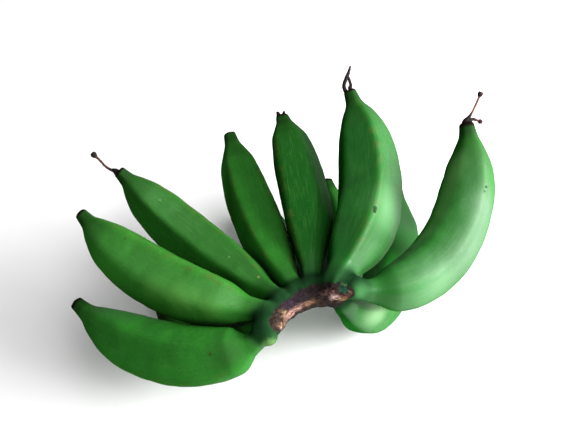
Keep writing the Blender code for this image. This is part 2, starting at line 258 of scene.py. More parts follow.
def off_stalk(points, fruit):
    """Distance of points from a stalk's skin, the way out of it and the length along it.
    Points that are far from it are only told that they are far."""
    line, along, across, radius, length = lower_part(fruit)
    gap, way = np.full(len(points), 30.0), np.zeros((len(points), 3))
    spot = np.full(len(points), 400.0)
    close = ((points > line.min(0) - 17.0) & (points < line.max(0) + 17.0)).all(1)
    here = points[close]
    near = ((here[:, None, :] - line) ** 2).sum(-1).argmin(1)
    spot[close] = length[near] + ((here - line[near]) * along[near]).sum(1)
    place = np.clip(spot[close], length[0], length[-1])
    foot, way_on = (np.stack([np.interp(place, length, known[:, k]) for k in range(3)], axis=1)
                    for known in (line, along))
    out = here - foot
    ahead = (out * way_on).sum(1)
    ahead[spot[close] < 0.0] = 0.0
    out -= way_on * ahead[:, None]
    here_radius = np.interp(place, length, radius)
    inward = np.cross(across, way_on)
    angle = np.arctan2(out @ across, (out * inward).sum(1))
    size = here_radius * outline(angle, here_radius, fruit)
    distance = np.linalg.norm(out, axis=1) + 1e-9
    gap[close], way[close] = distance - size, out / distance[:, None]
    return gap, way, spot


def grow_together(points, own="", rounds=5):
    """Moves points onto the one soft skin around the crown and all the stalks. The crown's piece
    dives under the fruits beyond STUB, and the fruit called own dives under the crown before it.
    Gives the points, how far each is from the crown, how deep it lies between two stalks, its
    share of each fruit, and its normal."""
    held, first_fruit = None, 1 + len(BUMPS)
    for _ in range(rounds):
        crown_gap = off_crown(points)
        gaps, ways, spots = [crown_gap], [crown_slope(points)], [np.zeros(len(points))]
        for middle, size in BUMPS:
            away = points - middle
            distance = np.linalg.norm(away, axis=1)
            gaps.append(distance - size)
            ways.append(away / distance[:, None])
            spots.append(spots[0])
        for fruit in FRUITS.values():
            for kept, found in zip((gaps, ways, spots), off_stalk(points, fruit)):
                kept.append(found)
        gaps, ways, spots = np.array(gaps), np.array(ways), np.array(spots)
        soft = 0.05 + WEB * fade(*WEB_REACH, crown_gap)
        lowest = gaps.min(0)
        shares = np.exp(-(gaps - lowest) / soft)
        skin = lowest - soft * np.log(shares.sum(0))
        shares /= shares.sum(0)
        way = (shares[:, :, None] * ways).sum(0)
        if own:
            past = STUB - spots[first_fruit + list(FRUITS).index(own)]
        else:
            past = spots[gaps.argmin(0), np.arange(len(points))] - STUB
        target = -UNDERCUT * np.clip(past, 0.0, LAP + 2.0)
        if held is None:  # points that start deep inside stay where they are
            held = smooth_step(-5.0, -2.5, lowest)
        move = (skin - target) / np.maximum((way ** 2).sum(1), 0.3)
        points = points - way * (np.clip(move, -2.0, 2.0) * held)[:, None]
    second = np.sort(gaps[first_fruit:], axis=0)[1]
    normal = way / (np.linalg.norm(way, axis=1)[:, None] + 1e-9)
    return points, crown_gap, second, shares[first_fruit:], normal


def vertices(mesh, key="co"):
    """The places of a mesh's vertices, or another triple that each of them has."""
    flat = np.empty(len(mesh.vertices) * 3)
    mesh.vertices.foreach_get(key, flat)
    return flat.reshape(-1, 3)


def write_points(mesh, points):
    mesh.vertices.foreach_set("co", np.asarray(points, float).ravel())
    mesh.update()


def note(mesh, **notes):
    """Writes one value for a whole mesh, or a value, vector or colour for each of its vertices,
    for its material to read."""
    for name, values in notes.items():
        if np.isscalar(values):
            values = np.full(len(mesh.vertices), values)
        values = np.asarray(values, np.float32).reshape(len(values), -1)
        kind, key = {1: ("FLOAT", "value"), 3: ("FLOAT_VECTOR", "vector"),
                     4: ("FLOAT_COLOR", "color")}[values.shape[1]]
        layer = mesh.attributes.get(name) or mesh.attributes.new(name, kind, "POINT")
        layer.data.foreach_set(key, values.ravel())


def new_object(name, data):
    made = bpy.data.objects.new(name, data)
    bpy.context.scene.collection.objects.link(made)
    return made


def new_shape(name, corners, faces):
    mesh = bpy.data.meshes.new(name)
    mesh.from_pydata(corners, [], faces)
    return new_object(name, mesh)


def kept_mesh(thing, name):
    """The mesh of an object with its modifier applied. The object itself goes."""
    seen = thing.evaluated_get(bpy.context.evaluated_depsgraph_get())
    mesh = bpy.data.meshes.new_from_object(seen)
    bpy.data.objects.remove(thing, do_unlink=True)
    mesh.name = name
    return mesh


def sunny_side(mesh):
    """1 where a mesh is turned towards the window, 0 where it is turned away."""
    return smooth_step(-0.35, 0.3, vertices(mesh, "normal") @ np.array([0.86, -0.1, 0.5]))


# The cushion, the bumps and the twelve stalk stubs as rough closed tubes, run into one even net of
# small faces, which then settles onto the soft skin.
VOXEL = 0.62  # size of the net's faces, mm
AROUND = 36  # points round each rough tube
corners, faces = [], []


def add_tube(rings):
    """Adds a closed tube through rings of points, flat at both ends."""
    first = len(corners)
    corners.extend(map(tuple, np.concatenate(rings)))
    last = len(corners) - AROUND
    for i in range(first, last, AROUND):
        for j in range(AROUND):
            k = (j + 1) % AROUND
            faces.append((i + j, i + k, i + AROUND + k, i + AROUND + j))
    faces.extend([tuple(range(first, first + AROUND))[::-1], tuple(range(last, last + AROUND))])


turn_by = 2.0 * math.pi * np.arange(AROUND) / AROUND
rings = []
for angle in np.radians(np.linspace(CROWN_ENDS[0] - 5.0, CROWN_ENDS[1] + 5.0, 60)):
    held = np.clip(np.degrees(angle), *CROWN_ENDS)
    top, bottom = (float(smooth_curve(edge, [held])[0]) for edge in (CROWN_TOP, CROWN_BOTTOM))
    radius = CROWN_MIDDLE + CROWN_HALF * 0.9 * np.cos(turn_by)
    rings.append(np.stack([radius * math.sin(angle), radius * math.cos(angle) - STALK_RADIUS,
                           (top + bottom) / 2 + (top - bottom) * 0.45 * np.sin(turn_by)], axis=1))
add_tube(rings)
for middle, size in BUMPS:
    add_tube([np.array(middle) + size * 0.9 * np.stack(
        [math.cos(rise) * np.cos(turn_by), math.cos(rise) * np.sin(turn_by),
         np.full(AROUND, math.sin(rise))], axis=1) for rise in np.radians(np.linspace(-80, 80, 12))])
for fruit in FRUITS.values():
    line, along, across, radius, length = lower_part(fruit, STUB + LAP)
    rings = []
    for k, slope in [(0, 80.0), (0, 55.0), (0, 30.0)] + [(k, 0.0) for k in range(0, len(line), 4)]:
        inward = np.cross(across, along[k])
        middle = line[k] - along[k] * radius[k] * math.sin(math.radians(slope))
        reach = radius[k] * math.cos(math.radians(slope)) * outline(turn_by, radius[k], fruit)
        rings.append(middle + reach[:, None] * (np.cos(turn_by)[:, None] * inward
                                                + np.sin(turn_by)[:, None] * across))
    add_tube(rings)
rough = new_shape("rough_crown", corners, faces)
even_net = rough.modifiers.new("even_net", "REMESH")
even_net.mode = "VOXEL"
even_net.voxel_size = VOXEL
crown_mesh = kept_mesh(rough, "crown_cushion")
net = vertices(crown_mesh)

edges = np.empty(len(crown_mesh.edges) * 2, int)
crown_mesh.edges.foreach_get("vertices", edges)
edges = edges.reshape(-1, 2)
count = np.bincount(edges.ravel(), minlength=len(net))[:, None]

# After each settling every corner is moved towards the mean of its neighbours on the net.
for rounds in (2, 2, 3):
    net = grow_together(net, rounds=rounds)[0]
    total = np.zeros_like(net)
    np.add.at(total, edges[:, 0], net[edges[:, 1]])
    np.add.at(total, edges[:, 1], net[edges[:, 0]])
    net = 0.4 * net + 0.6 * (total / count)
net, crown_gap, second, shares, normal = grow_together(net)

(crown_angle, crown_radius), height = about_stalk(net), net[:, 2]


def ripple(points, x, y, z, shift=0.0):
    """Noise from -1 to 1 at each point, stretched differently along each axis."""
    return np.array([noise.noise(Vector((p[0] * x + shift, p[1] * y, p[2] * z))) for p in points])


# The dried wood: the front and the rounded top and bottom of the lip.
WOOD_TOP = [(-72, -1.0), (-68, 2.2), (-62, 3.4), (-45, 3.8), (-37, 4.6), (-26, 4.6), (-16, 6.0),
            (4, 7.0), (18, 6.8), (30, 6.2), (40, 5.0), (46, 2.0), (50, -1.0)]
WOOD_BOTTOM = [(-76, -30.0), (8, -30.0), (14, -19.0), (19, -15.0), (26, -12.2), (32, -9.6),
               (38, -7.2), (44, -5.2), (50, -3.0)]
unrolled = np.stack([np.radians(crown_angle) * 38.0, height, crown_radius], axis=1)
ragged = ripple(unrolled, 0.22, 0.3, 0.3) * 1.3 + ripple(unrolled, 0.9, 0.9, 0.9, 7.0) * 0.6
over_top = height + (crown_radius - 36.0) * 0.42 - smooth_curve(WOOD_TOP, crown_angle)
left_end = np.hypot(np.minimum(crown_angle + 54.0, 0.0) / 13.5,
                    smooth_step(-50.0, -56.0, crown_angle) * (height + 2.9) / 6.3)
over_bottom = height - smooth_curve(WOOD_BOTTOM, crown_angle)
wood = (fade(-0.6, 1.2, over_top + ragged)
        * fade(4.5, 6.5, crown_radius - STALK_RADIUS + ragged * 0.6)
        * fade(0.9, 1.1, left_end + ragged * 0.05)
        * smooth_step(-0.5, 0.7, over_bottom + ragged * 0.5)
        * fade(48.0, 50.0, crown_angle + ragged))

# Its fibres run along the lip, with deeper furrows between them and a few knots.
fibres = ripple(unrolled, 0.1, 1.1, 0.8) * 0.34 + ripple(unrolled, 0.25, 2.2, 1.6, 3.0) * 0.16
knots = ripple(unrolled, 0.2, 0.26, 0.26, 11.0) * 0.75 + ripple(unrolled, 0.5, 0.6, 0.6, 17.0) * 0.35
boss = np.hypot((crown_angle + 59.0) / 8.0, (height + 3.0) / 5.0)
knob = 0.5 * fade(0.2, 1.0, boss) - 0.7 * np.exp(-((boss - 1.15) / 0.18) ** 2)
net = net + normal * (wood * (fibres + knots + knob - 0.45))[:, None]
write_points(crown_mesh, laid_down(net))
crown_mesh.shade_smooth()
crown = new_object("crown_cushion", crown_mesh)


def paint(red, green, blue):
    """A colour given as it looks, 0 to 255, as the shader wants it."""
    shares = [c / 255.0 for c in (red, green, blue)]
    return (*[c / 12.92 if c <= 0.04045 else ((c + 0.055) / 1.055) ** 2.4 for c in shares], 1.0)


def worked_out(operation, swapped=False):
    """How a node works out a sum of two flows, or of a flow and a number."""
    return lambda one, two: maths(operation, *((two, one) if swapped else (one, two)))


class Flow:
    """What flows out of a node's socket. Sums with it add nodes to its tree, and flow["Name"] is
    what flows out of another socket of the same node."""
    __add__ = __radd__ = worked_out("ADD")
    __mul__ = __rmul__ = worked_out("MULTIPLY")
    __sub__, __rsub__ = worked_out("SUBTRACT"), worked_out("SUBTRACT", swapped=True)
    __truediv__, __pow__ = worked_out("DIVIDE"), worked_out("POWER")

    def __init__(self, socket):
        self.socket, self.tree = socket, socket.id_data

    def __getitem__(self, key):
        return Flow(self.socket.node.outputs[key])


def feed(node, inputs):
    """Fills the sockets of a node, by name or number, with constants or with what flows."""
    for key, value in inputs.items():
        if isinstance(value, Flow):
            value.tree.links.new(value.socket, node.inputs[key])
        else:
            node.inputs[key].default_value = value


def put(where, kind, inputs={}, **settings):
    """Adds a node with its own settings and inputs to a tree, or to the tree of the first of
    several flows, and gives what flows out of it."""
    tree = where if isinstance(where, bpy.types.NodeTree) else next(
        value.tree for value in where if isinstance(value, Flow))
    made = tree.nodes.new(kind)
    for key, value in settings.items():
        setattr(made, key, value)
    feed(made, inputs)
    return Flow(made.outputs[0]) if len(made.outputs) else None


def maths(operation, *values, clamp=False):
    return put(values, "ShaderNodeMath", dict(enumerate(values)), operation=operation, use_clamp=clamp)


def vectors(operation, *values):
    made = put(values, "ShaderNodeVectorMath", dict(enumerate(values)), operation=operation)
    return made["Value"] if operation in ("LENGTH", "DISTANCE") else made


def ease(value, low, high, start=0.0, stop=1.0):
    """From start to stop as value goes from low to high, softly at both ends."""
    return put([value], "ShaderNodeMapRange",
               {"Value": value, "From Min": low, "From Max": high, "To Min": start, "To Max": stop},
               interpolation_type="SMOOTHSTEP")


def tint(share, a, b):
    """One colour laid over another by a share."""
    return put([share], "ShaderNodeMix", {0: share, 6: a, 7: b}, data_type="RGBA")[2]


class Coat:
    """A colour over which others are laid, each by a share."""
    def __init__(self, colour):
        self.colour = colour

    def lay(self, share, *over):
        self.colour = tint(share, self.colour, paint(*over))


def cloud(where, scale, detail=3.0, rough=0.55, distort=0.0):
    return put([where], "ShaderNodeTexNoise", {"Vector": where, "Scale": scale, "Detail": detail,
                                               "Roughness": rough, "Distortion": distort})


def stretched(where, x, y, z):
    return vectors("MULTIPLY", where, (x, y, z))


def attribute(tree, name, output="Fac"):
    return put(tree, "ShaderNodeAttribute", attribute_name=name)[output]


def away_from(spot, place):
    """Distance in metres of a place on the lying hand from a spot in mm on the growing hand."""
    return vectors("DISTANCE", place, tuple(REST @ Vector(spot)))


# Blemishes and freckles on the skins: place in mm on the growing hand, radius and the softness of
# the rim in mm, strength and colour.
MARKS = [
    (62.0, 36.5, 33.6, 3.0, 2.5, 0.3, 84, 84, 48), (60.0, 34.1, 31.7, 2.0, 0.6, 0.95, 10, 14, 8),
    (59.0, 32.6, 30.4, 1.8, 0.6, 0.95, 10, 14, 8), (136.1, 26.4, 24.5, 1.2, 0.4, 0.9, 22, 50, 24),
    (133.9, 24.3, 22.9, 1.0, 0.4, 0.8, 30, 60, 30), (-74.2, -23.4, -5.2, 1.3, 0.5, 0.8, 56, 40, 16),
    (-30.8, 22.5, 14.9, 1.5, 1.0, 0.5, 124, 132, 80), (-46.8, 42.9, 26.9, 1.1, 0.7, 0.4, 120, 146, 88),
    (-84.2, 90.6, 66.6, 1.0, 0.7, 0.4, 116, 146, 88), (-35.5, -26.5, -11.5, 7.5, 5.0, 0.8, 88, 126, 70)]
# Soft patches, most of them painted light and shade: pale painted highlights, in part waxy
# bloom, lighter painted fill on shaded sides, deeper green painted shade on lit sides and on
# fruits seen through the gaps, a pale green spot and a dark brown patch: place, radius out to
# which each fades, strength and colour.
TINT_AND_PAINTED_LIGHT_PATCHES = [
    (78, -9, -15, 30, 0.18, 130, 190, 134), (39, 14.4, -35, 16, 0.5, 160, 206, 150),
    (69.4, 44.4, 22.9, 26, 0.25, 130, 190, 130), (30.5, -12.5, -5.2, 13, 0.4, 84, 150, 88),
    (92, 115, -19, 50, 0.95, 38, 66, 40), (17.8, 4.7, -25, 13, 0.8, 10, 56, 12),
    (-40.1, 105.9, 26.5, 15, 0.4, 24, 30, 10), (-38.8, 114.5, 35.5, 15, 0.5, 24, 30, 10),
    (-37.3, 122, 43.5, 15, 0.4, 24, 30, 10), (-35.5, 131, 52, 14, 0.4, 26, 36, 14),
    (-112, 78, -17, 26, 0.9, 28, 22, 13), (131, 40, 40, 30, 0.5, 24, 64, 18),
    (131, 21, 11, 22, 0.24, 128, 136, 132), (118, 12, -4, 22, 0.24, 128, 136, 132),
    (102, 2, -11, 22, 0.2, 128, 136, 132), (84, -8, -13, 20, 0.14, 128, 140, 132),
    (124, 48, 41, 14, 0.35, 112, 168, 96), (117, 42, 33, 14, 0.4, 112, 168, 96),
    (109, 36, 25, 14, 0.4, 112, 168, 96), (100, 29, 17, 14, 0.4, 112, 168, 96),
    (90, 22, 9, 13, 0.4, 104, 160, 90), (82, 20, 4, 12, 0.3, 104, 160, 90),
    (-61, -25, -7, 22, 0.75, 32, 62, 27), (-100, 20, 30, 15, 0.35, 84, 144, 60),
    (-84.5, 8.7, 23.1, 18, 0.5, 88, 150, 64), (-68, 0, 15, 15, 0.35, 84, 144, 60),
    (48, 62, 46, 24, 0.35, 14, 50, 14), (34, 34, 27, 20, 0.35, 14, 50, 14),
    (75, 87, -29, 26, 0.85, 8, 34, 8)]
RUBBED = (-60.0, -25.0, -8.0)  # a rubbed place on the lowest front fruit that has lost its shine
RUBBED_REACH = 28.0  # how far round it the dullness fades, mm


def skin_finish(tree):
    """Colour, roughness, relief and gloss of the waxy green skin, from the stalk to the tip."""
    place = put(tree, "ShaderNodeTexCoord")["Object"]
    grain = attribute(tree, "grain", "Vector")
    ridge = attribute(tree, "ridge")
    tip = attribute(tree, "tip")
    free = 1.0 - attribute(tree, "web")

    # Broad shades, fine streaks along the fruit and mottling.
    coat = Coat(tint(ease(cloud(place, 38.0, 2.0), 0.3, 0.7), paint(22, 94, 27), paint(30, 109, 32)))
    coat.lay(attribute(tree, "tone") * 0.5, 62, 112, 34)
    # A deeper green on some fruits, in part painted shade on those turned more to the lights.
    coat.lay(attribute(tree, "deep"), 10, 56, 16)
    streaks = cloud(stretched(grain, 1.0, 1.0, 0.07), 900.0, 3.0)
    coat.lay(ease(streaks, 0.45, 0.75, 0.0, 0.3) * free, 60, 118, 46)
    mottle = cloud(place, 520.0, 4.0, 0.65)
    coat.lay(ease(mottle, 0.35, 0.8, 0.0, 0.38), 20, 72, 20)

    # Worn ridges, pale dots and a few dark specks.
    worn = cloud(place, 140.0, 4.0, 0.6)
    edge = ease(ridge, 0.55, 1.0) * ease(worn, 0.42, 0.7) * free * 0.4
    coat.lay(edge, 70, 76, 34)
    dots = put(tree, "ShaderNodeTexVoronoi", {"Vector": place, "Scale": 330.0})["Distance"]
    coat.lay(ease(dots, 0.16, 0.07, 0.0, 0.22), 100, 138, 74)
    specks = put(tree, "ShaderNodeTexVoronoi", {"Vector": place, "Scale": 62.0})["Distance"]
    speck = ease(specks, 0.055, 0.03) * ease(cloud(place, 30.0, 1.0), 0.5, 0.56)
    coat.lay(speck * 0.75, 34, 38, 18)

    # The dull dark collar, the painted shade in the crotches, the marks, and the soft patches that are
    # mostly painted light and shade.
    dull = ease(attribute(tree, "collar"), 0.0, 1.0) * ease(worn, 0.0, 0.6, 0.8, 1.0)
    coat.lay(dull, 19, 46, 24)
    crotch = attribute(tree, "crotch")
    coat.lay(crotch * 0.85, 9, 24, 8)
    for x, y, z, size, rim, strength, *colour in MARKS:
        ragged = mottle * (rim * MM) + away_from((x, y, z), place)
        cover = ease(ragged, (size + rim * 0.5) * MM, (size - rim * 0.5) * MM, 0.0, strength)
        coat.lay(cover, *colour)
        dull = maths("MAXIMUM", dull, cover)
    # Mostly painted light and shade: pale highlights, lighter fill on shaded sides and deeper green shade.
    for x, y, z, size, strength, *colour in TINT_AND_PAINTED_LIGHT_PATCHES:
        patch = ease(away_from((x, y, z), place), size * MM, 0.0, 0.0, strength)
        coat.lay(patch, *colour)
    rubbed = ease(away_from(RUBBED, place), RUBBED_REACH * MM, 0.0, 0.0, 1.3)
    dull = maths("MAXIMUM", dull, maths("MINIMUM", rubbed, 0.9))

    # The darker neck and the dried scar at the tip.
    coat.lay(ease(tip, 42.0, 4.0, 0.0, 0.6), 28, 66, 20)
    coat.lay(ease(mottle * 6.0 + tip, 17.0, 10.0, 0.0, 0.75), 20, 46, 16)
    scar = ease((tip + mottle * 1.6) / attribute(tree, "scar"), 1.6, 0.9)
    coat.lay(scar, 20, 15, 11)
    dull = maths("MAXIMUM", scar, dull)

    rough = ease(mottle, 0.2, 0.8, 0.45, 0.58) + dull * 0.2
    relief = streaks * free * 0.35 + mottle * 0.25
    glance = put(tree, "ShaderNodeLayerWeight")["Facing"]
    gloss = (1.0 - maths("MAXIMUM", dull, crotch)) * (ridge * -0.5 + 1.0)
    gloss = gloss * ease(glance, 0.45, 0.8, 0.38, 0.05) * attribute(tree, "shine")
    return coat.colour, rough, relief, gloss * ease(tip, 3.0, 26.0, 0.15, 1.0)


def new_material(name, specular=0.5):
    """A material, its tree and its shader, with a specular that stands where none flows in."""
    material = bpy.data.materials.new(name)
    material.use_nodes = True
    shader = material.node_tree.nodes["Principled BSDF"]
    feed(shader, {"Specular IOR Level": specular})
    return material, material.node_tree, shader


def relief_bump(tree, shader, strength, distance, height):
    feed(shader, {"Normal": put(tree, "ShaderNodeBump", {
        "Strength": strength, "Distance": distance, "Height": height})})


def blot(angle, rise, half_angle, half_rise, wander=0.35):
    """1 within a ragged patch of the lip, 0 around it."""
    away = np.hypot((crown_angle - angle) / half_angle, (height - rise) / half_rise)
    return fade(0.65, 1.25, away + ragged * wander)


# Colour of the wood at each vertex, laid on patch over patch from the darkest to the palest.
bark = np.tile(np.array(paint(44, 34, 30)), (len(net), 1))
rim_height = height - smooth_curve(CROWN_BOTTOM, crown_angle)
for share, *colour in [
        (smooth_step(-3.5, 0.5, height + ragged * 1.2), 22, 18, 18),
        (blot(-16, 3.0, 22, 5.0), 34, 25, 33), (blot(-27, 1.0, 8, 3.0), 44, 30, 46),
        (blot(-3, -5.0, 12, 2.8), 70, 50, 34), (blot(12, 3.5, 18, 3.6), 26, 20, 16),
        (blot(-46, -4.0, 15, 6.2), 98, 72, 54), (blot(-52, 0.5, 8, 2.6), 70, 56, 44),
        (blot(-38, -2.6, 7, 2.6), 150, 124, 92), (blot(-52, -5.6, 7, 2.6), 156, 126, 104),
        (fade(0.12, 0.3, np.abs(boss - 1.1)), 44, 30, 26),
        # The second blots on this line and the next are thin streaks of painted highlight on the lower
        # lip.
        (blot(-30, -5.6, 10, 3.2), 138, 104, 96), (blot(-30, -6.4, 9, 1.6), 168, 130, 116),
        (blot(-18, -4.4, 9, 2.6), 132, 98, 90), (blot(-19, -5.2, 7, 1.3), 172, 134, 120),
        (blot(-7, -4.6, 8, 1.9), 140, 104, 86), (blot(33, -5.8, 13, 3.2), 150, 96, 84),
        (blot(20, 0.6, 8, 3.2, 0.6), 96, 66, 60), (blot(27, -1.2, 5, 3.4, 0.6), 140, 104, 96),
        # The first blot on this line is a painted highlight near the right end.
        (blot(24, -4.4, 6, 2.4), 214, 180, 170), (blot(33, -7.0, 7, 1.6), 196, 158, 112),
        (blot(43, -1.2, 6, 2.6), 142, 104, 92), (blot(31, 2.2, 3, 3.6), 64, 30, 32),
        (blot(47, 2.0, 3, 2.6), 96, 60, 58), (blot(38.5, 1.8, 5.4, 4.2, 0.15), 40, 96, 72),
        (blot(40, 4.6, 3.2, 1.8, 0.2), 60, 110, 64),
        # Painted shade along the bottom rim of the lip.
        (fade(-1.2, 0.6, rim_height - 2.0 + ragged * 0.8), 28, 18, 16)]:
    bark += share[:, None] * (np.array(paint(*colour)) * 0.8 - bark)
flecks = ripple(unrolled, 0.35, 1.2, 1.0, 23.0) + 0.7 * ripple(unrolled, 0.9, 2.0, 1.8, 29.0)
bark[:, :3] *= np.clip(1.0 + 1.3 * flecks, 0.25, 2.2)[:, None]


def crown_finish():
    material, tree, shader = new_material("dried_cut_and_green_collar", 0.2)
    green, rough, relief, gloss = skin_finish(tree)
    wood_share = attribute(tree, "wood")
    fibre = attribute(tree, "fibre", "Vector")
    strands = cloud(stretched(fibre, 0.16, 1.0, 1.0), 1.5, 5.0, 0.7, 0.6)
    fine = cloud(stretched(fibre, 0.4, 1.0, 1.0), 3.4, 4.0, 0.7)
    patchy = cloud(stretched(fibre, 0.6, 1.0, 1.0), 0.9, 4.0, 0.65)
    coat = Coat(attribute(tree, "bark", "Color"))
    coat.lay(ease(strands, 0.56, 0.36, 0.0, 0.75), 34, 22, 20)
    coat.lay(ease(patchy, 0.56, 0.74, 0.0, 0.16), 170, 136, 120)
    coat.lay(ease(fine, 0.56, 0.4, 0.0, 0.45), 24, 17, 17)
    feed(shader, {"Base Color": tint(wood_share, green, coat.colour),
                  "Roughness": wood_share * ease(fine, 0.3, 0.7, 0.02, 0.22) + rough,
                  "Specular IOR Level": ease(wood_share, 0.0, 1.0, gloss, 0.12)})
    relief_bump(tree, shader, 0.9, 0.0005, relief * 0.3 + (strands + fine) * wood_share)
    return material


def of_fruits(trait):
    """A trait of the fruits at each vertex, mixed by the share of each fruit there."""
    return shares.T @ np.array([fruit[trait] for fruit in FRUITS.values()]) / (shares.sum(0) + 1e-6)


# The crown also carries painted shade where it lies between two stalks.
note(crown_mesh, wood=wood, fibre=unrolled, bark=bark, grain=net * MM, web=1.0, ridge=0.0, tip=100.0,
     scar=1.0, tone=of_fruits("tone"), deep=of_fruits("deep"), collar=fade(*COLLAR, crown_gap),
     crotch=fade(*CROTCH_SHADE_GAPS, second), shine=sunny_side(crown_mesh))
crown_mesh.materials.append(crown_finish())
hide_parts("crown")
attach(crown, "root")


# ==== The fruits ====
# Twelve bent, five-sided bananas with waxy green skins over firm flesh. Each is swept along its
# own centre line, bottle-necked towards a blunt tip with a dark scar, and grown into the collar.

def new_geometry_tree(name, **sockets):
    """A geometry tree with a line coming in, named sizes, and a mesh going out."""
    tree = bpy.data.node_groups.new(name, "GeometryNodeTree")
    tree.interface.new_socket("Line", in_out="INPUT", socket_type="NodeSocketGeometry")
    for label, kind in sockets.items():
        tree.interface.new_socket(label, in_out="INPUT", socket_type="NodeSocket" + kind)
    tree.interface.new_socket("Mesh", in_out="OUTPUT", socket_type="NodeSocketGeometry")
    return tree, put(tree, "NodeGroupInput")


def scaled(vector, size):
    return put([vector], "ShaderNodeVectorMath", {0: vector, "Scale": size}, operation="SCALE")


def store(shape, name, value, kind="FLOAT"):
    return put([shape], "GeometryNodeStoreNamedAttribute",
               {"Geometry": shape, "Name": name, "Value": value}, data_type=kind, domain="POINT")


def finish_tree(shaped, material):
    """Smooths a shape, realizes it, gives it its material and sends it out."""
    smooth = put([shaped], "GeometryNodeSetShadeSmooth", {"Geometry": shaped, "Shade Smooth": True})
    whole = put([smooth], "GeometryNodeRealizeInstances", {0: smooth})
    dressed = put([whole], "GeometryNodeSetMaterial", {"Geometry": whole, "Material": material})
    put([dressed], "NodeGroupOutput", {0: dressed})


def banana_tree():
    """Wraps a closed tube around the centre line and shapes it facet by facet."""
    tree, given = new_geometry_tree(
        "grow_banana", Across="Vector", Ridge="Float", Half_Girth="Float", Length="Float", Start="Float",
        Sharpness="Float", Neck="Float", Body="Float", Lumps="Float", Seed="Float", Around="Int",
        Along="Int", Skin="Material")
    across, seed, half_girth, length = given["Across"], given["Seed"], given["Half_Girth"], given["Length"]
    tube = put(tree, "GeometryNodeMeshCylinder",
               {"Vertices": given["Around"], "Side Segments": given["Along"], "Fill Segments": 5,
                "Radius": 1.0, "Depth": 1.0}, fill_type="TRIANGLE_FAN")
    spot = put(tree, "GeometryNodeInputPosition")
    parts = put(tree, "ShaderNodeSeparateXYZ", {0: spot})
    share = maths("ADD", parts[2], 0.5, clamp=True)
    angle = maths("ARCTAN2", parts[1], parts[0])
    sine, cosine = maths("SINE", angle), maths("COSINE", angle)
    middle = vectors("LENGTH", vectors("MULTIPLY", spot, (1.0, 1.0, 0.0)))

    # Rings crowd together towards both ends, where the shape changes fastest.
    crowd = maths("SINE", share * (2 * math.pi)) * (-0.72 / (2 * math.pi))
    share = maths("ADD", share, crowd, clamp=True)
    share = share * (1.0 - given["Start"]) + given["Start"]
    line = put(tree, "GeometryNodeSampleCurve",
               {"Curves": given["Line"], "Value": put(tree, "GeometryNodeInputRadius"),
                "Factor": share}, data_type="FLOAT", mode="FACTOR", use_all_curves=False)
    radius, centre, along = line["Value"], line["Position"], line["Tangent"]
    inward = vectors("NORMALIZE", vectors("CROSS_PRODUCT", across, along))
    side = vectors("ADD", scaled(inward, cosine), scaled(across, sine))

    # The five facets of the section, sharper on the body than at the two ends.
    ridge = given["Ridge"]
    body = maths("DIVIDE", radius / half_girth - NECK, 0.5, clamp=True)
    power = body * (given["Sharpness"] - NECK_SHARPNESS) + NECK_SHARPNESS
    total = 0.0
    for k in range(5):
        facing = maths("SINE", ridge + 2.4 * k) * UNEVEN_ANGLE + (ridge + (36.0 + 72.0 * k))
        depth = maths("SINE", ridge + 1.7 * k) * UNEVEN_DEPTH + 1.0
        pull = maths("COSINE", angle - maths("RADIANS", facing)) / depth
        total = maths("MAXIMUM", pull, 0.0) ** power + total
    reach = total ** maths("DIVIDE", -1.0, power)
    reach = reach / (body * (given["Body"] - given["Neck"]) + given["Neck"])

    # Slow unevenness of the skin, always inwards.
    drift = put(tree, "ShaderNodeCombineXYZ", {0: seed, 1: seed})
    adrift = vectors("ADD", centre, drift)
    lumps = cloud(adrift, 30.0, 1.0)
    around = cloud(vectors("ADD", scaled(side, 0.016), adrift), 62.0, 2.0)
    sink = (lumps + around - 0.85) * (body * given["Lumps"])
    sink = sink * ease(share * (length * 1000.0), 16.0, 36.0)
    size = radius * reach - sink

    # The tip closes in a shallow ragged crater.
    hollow = (1.0 - middle ** 3.0) * maths("GREATER_THAN", share, 0.5)
    torn = cloud(vectors("ADD", scaled(side, 0.004), centre), 420.0, 2.0)
    place = vectors("ADD", centre, scaled(side, size * middle))
    place = vectors("SUBTRACT", place, scaled(along, hollow * (torn * 0.0026 + 0.0002)))

    # Fields are read before the shape changes, so they are stored on the bare tube first.
    unrolled = put(tree, "ShaderNodeCombineXYZ", {0: cosine * half_girth, 1: sine * half_girth,
                                                  2: share * length + seed})
    noted = store(tube, "grain", unrolled, "FLOAT_VECTOR")
    noted = store(noted, "ridge", ease(reach, 0.99, 1.1))
    noted = store(noted, "tip", (1.0 - share) * (length * 1000.0))
    shaped = put(tree, "GeometryNodeSetPosition", {"Geometry": noted, "Position": place})
    finish_tree(shaped, given["Skin"])
    return tree


def swept(name, tree, points, radii, **sizes):
    """Runs a geometry tree on a bare line through points with radii, all in mm on the growing
    hand, and keeps the result as a plain mesh on the lying one."""
    curve = bpy.data.curves.new(name, "CURVE")
    curve.dimensions = "3D"
    spline = curve.splines.new("POLY")
    spline.points.add(len(points) - 1)
    for point, place, radius in zip(spline.points, laid_down(points), radii * MM):
        point.co = (*place, 1.0)
        point.radius = radius
    line = new_object(name, curve)
    growth = line.modifiers.new("growth", "NODES")
    growth.node_group = tree
    for item in tree.interface.items_tree:
        if item.name in sizes:
            growth[item.identifier] = sizes[item.name]
    return new_object(name, kept_mesh(line, name))


def green_skin():
    material, tree, shader = new_material("waxy_green_skin", 0.3)
    green, rough, relief, gloss = skin_finish(tree)
    feed(shader, {"Base Color": green, "Roughness": rough, "Specular IOR Level": gloss})
    relief_bump(tree, shader, 0.35, 0.0003, relief)
    return material


SKIN = green_skin()
GROW_BANANA = banana_tree()
HIDDEN = ("back_2", "back_3", "back_4", "back_5")  # fruits that lie under the front row
TIP_ROUNDING = 1.6  # how far back from the tip its edge is rounded, mm
GROWN = (17.0, 30.0)  # a fruit follows the soft skin wholly, then less and less, mm
TURN_ONLY = np.array(REST)[:3, :3] / MM

